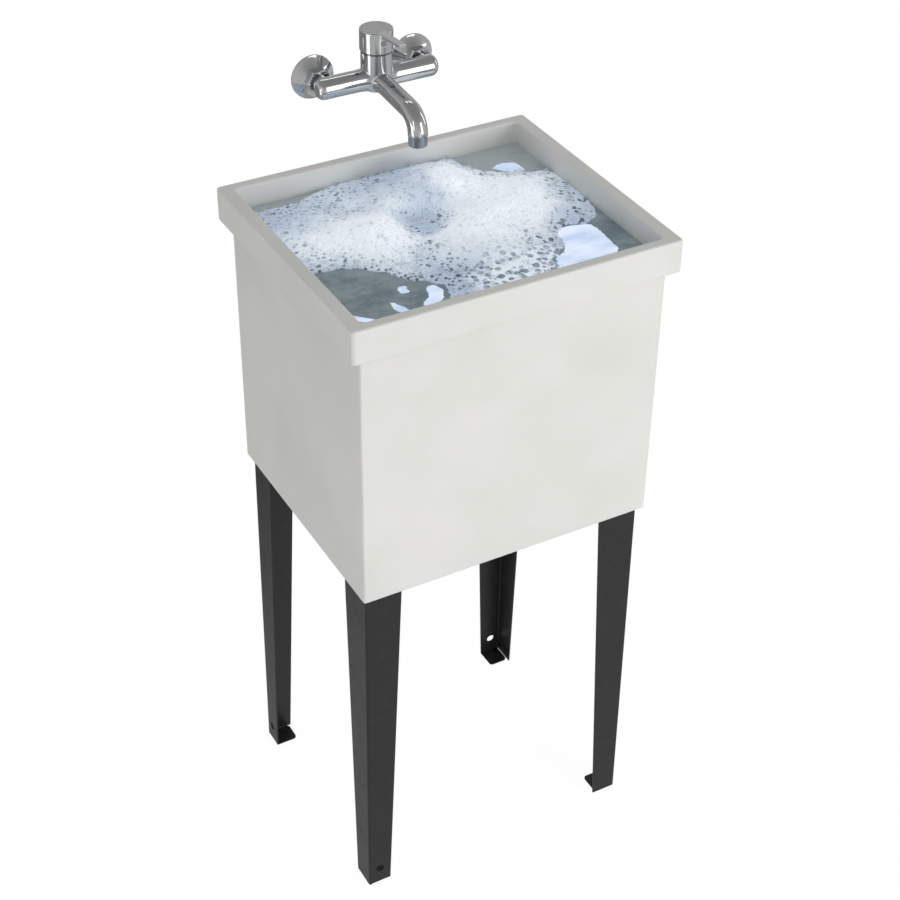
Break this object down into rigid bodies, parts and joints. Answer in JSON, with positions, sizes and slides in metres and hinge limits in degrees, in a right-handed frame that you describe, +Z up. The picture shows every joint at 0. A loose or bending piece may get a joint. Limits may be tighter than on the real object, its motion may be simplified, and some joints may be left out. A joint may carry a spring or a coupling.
{
  "type": "utility laundry sink",
  "caption": "Compact moulded utility sink on folded steel legs, with drain, stopper and a wall-mounted single-lever mixer.",
  "frame": {"origin": "on the floor, midway left to right, and midway between the tub's front and the ends of the mixer's wall threads", "axes": "+Z up, +Y towards the wall, +X to the right of someone who stands in front of the sink"},
  "size_m": [0.432, 0.4, 1.0918],
  "materials": {
    "tub_plastic": "white moulded thermoplastic, satin gloss",
    "leg_enamel": "black baked enamel on sheet steel, semi-gloss",
    "zinc_steel": "zinc-plated steel",
    "drain_steel": "polished stainless steel",
    "chrome": "bright chrome plate",
    "brass": "plain machined brass",
    "black_rubber": "black rubber",
    "fibre_seal": "red-brown fibre washer",
    "white_plastic": "white polypropylene",
    "acetal": "natural acetal",
    "grey_plastic": "dark grey plastic",
    "alumina": "ground alumina",
    "plug_plastic": "dark plug"
  },
  "bodies": {
    "sink": {"tub": "tub_plastic", "leg_front_left": "leg_enamel", "leg_front_right": "leg_enamel", "leg_rear_left": "leg_enamel", "leg_rear_right": "leg_enamel", "leg_screws": "zinc_steel", "leg_washers": "zinc_steel", "drain_strainer": "drain_steel", "drain_seal": "black_rubber", "drain_gasket": "black_rubber", "drain_locknut": "white_plastic", "tailpiece": "chrome", "tailpiece_washer": "white_plastic", "tailpiece_nut": "white_plastic", "mixer_body": "chrome", "aerator_housing": "chrome", "aerator_insert": "grey_plastic", "aerator_washer": "black_rubber", "union_nut_left": "chrome", "union_nut_right": "chrome", "union_left": "chrome", "union_right": "chrome", "union_washers": "fibre_seal", "rosette_left": "chrome", "rosette_right": "chrome", "cartridge_seal": "black_rubber", "cartridge_base": "acetal", "cartridge_shell": "acetal", "fixed_disc": "alumina", "cartridge_nut": "brass"},
    "stopper": {"stopper": "black_rubber"},
    "mixing_head": {"turning_head": "acetal", "stem_pin": "zinc_steel"},
    "sliding_disc": {"moving_disc": "alumina", "disc_carrier": "acetal"},
    "handle": {"lever_stem": "brass", "lever_handle": "chrome", "lever_screw": "zinc_steel", "index_plug": "plug_plastic"}
  },
  "joints": [
    {"name": "lever_turn", "type": "hinge", "parent": "sink", "child": "mixing_head", "pos_m": [-0.008, 0.146, 1.0483], "axis": [0, 0, 1], "range_deg": [-45, 45]},
    {"name": "lever_lift", "type": "hinge", "parent": "mixing_head", "child": "handle", "pos_m": [-0.008, 0.146, 1.0483], "axis": [-1, 0, 0], "range_deg": [0, 20]},
    {"name": "disc_slide", "type": "slide", "parent": "mixing_head", "child": "sliding_disc", "axis": [0, -1, 0], "range_m": [0, 0.0033]},
    {"name": "stopper_lift", "type": "slide", "parent": "sink", "child": "stopper", "axis": [0, 0, 1], "range_m": [0, 0.06]}
  ],
  "couplings": [
    {"joint": "disc_slide", "follows": "lever_lift", "m_per_rad": 0.00917}
  ]
}
